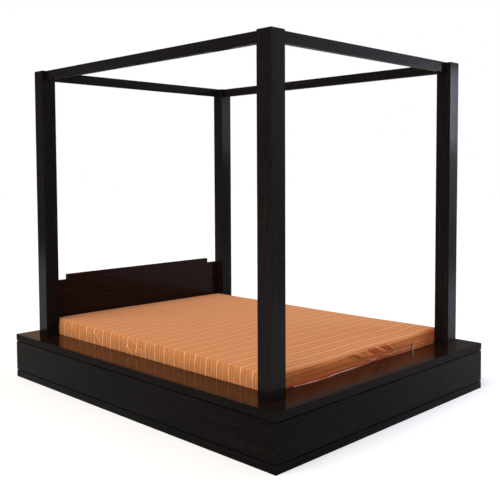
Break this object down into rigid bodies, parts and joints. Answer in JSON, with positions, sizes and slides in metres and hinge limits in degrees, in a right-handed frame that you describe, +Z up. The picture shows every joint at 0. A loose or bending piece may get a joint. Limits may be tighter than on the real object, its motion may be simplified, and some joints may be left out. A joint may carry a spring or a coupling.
{
  "type": "four poster bed",
  "caption": "Low platform four poster bed in glossy espresso wood: wide ledge plinth, square posts, thin top rails, stepped headboard and a striped mattress",
  "frame": {"origin": "on the floor under the middle of the bed", "axes": "+Z up, the foot end faces -Y and the headboard is at +Y, +X to the right seen from the foot"},
  "size_m": [1.93, 2.41, 2.06],
  "materials": {
    "espresso_wood": "very dark brown stain under glossy lacquer",
    "plain_pine": "planed, unfinished softwood",
    "zinc_steel": "zinc plated",
    "striped_ticking": "woven apricot ticking with fine pale stripes",
    "zip_cloth": "woven zip tape",
    "nickel_zip": "nickel plated zinc"
  },
  "bodies": {
    "root": {"apron_foot": "espresso_wood", "apron_head": "espresso_wood", "apron_left": "espresso_wood", "apron_return_foot_left": "espresso_wood", "apron_return_foot_right": "espresso_wood", "apron_return_head_left": "espresso_wood", "apron_return_head_right": "espresso_wood", "apron_right": "espresso_wood", "bed_bolt_foot_left": "zinc_steel", "bed_bolt_foot_right": "zinc_steel", "bed_bolt_head_left": "zinc_steel", "bed_bolt_head_right": "zinc_steel", "canopy_rail_foot": "espresso_wood", "canopy_rail_head": "espresso_wood", "canopy_rail_left": "espresso_wood", "canopy_rail_right": "espresso_wood", "centre_beam": "plain_pine", "centre_leg_1": "plain_pine", "centre_leg_2": "plain_pine", "cross_rail_foot": "plain_pine", "cross_rail_head": "plain_pine", "deck_bearer_head": "plain_pine", "deck_foot": "espresso_wood", "deck_head": "espresso_wood", "deck_left": "espresso_wood", "deck_right": "espresso_wood", "headboard_lower": "espresso_wood", "headboard_upper": "espresso_wood", "mattress": "striped_ticking", "post_foot_left": "espresso_wood", "post_foot_right": "espresso_wood", "post_head_left": "espresso_wood", "post_head_right": "espresso_wood", "side_rail_left": "plain_pine", "side_rail_right": "plain_pine", "skirting_foot": "espresso_wood", "skirting_head": "espresso_wood", "skirting_left": "espresso_wood", "skirting_return_foot_left": "espresso_wood", "skirting_return_foot_right": "espresso_wood", "skirting_return_head_left": "espresso_wood", "skirting_return_head_right": "espresso_wood", "skirting_right": "espresso_wood", "slat_01": "plain_pine", "slat_02": "plain_pine", "slat_03": "plain_pine", "slat_04": "plain_pine", "slat_05": "plain_pine", "slat_06": "plain_pine", "slat_07": "plain_pine", "slat_08": "plain_pine", "slat_09": "plain_pine", "slat_10": "plain_pine", "slat_11": "plain_pine", "slat_12": "plain_pine", "slat_ledger_left": "plain_pine", "slat_ledger_right": "plain_pine", "zip_tape": "zip_cloth"},
    "zip_slider_body": {"zip_slider": "nickel_zip"},
    "zip_tab_body": {"zip_tab": "nickel_zip"}
  },
  "joints": [
    {"name": "zip_slide", "type": "slide", "parent": "root", "child": "zip_slider_body", "axis": [-1, 0, 0], "range_m": [0, 1.01]},
    {"name": "zip_tab_swing", "type": "hinge", "parent": "zip_slider_body", "child": "zip_tab_body", "pos_m": [0.505, -0.9925, 0.323], "axis": [-1, 0, 0], "range_deg": [0, 160]}
  ]
}
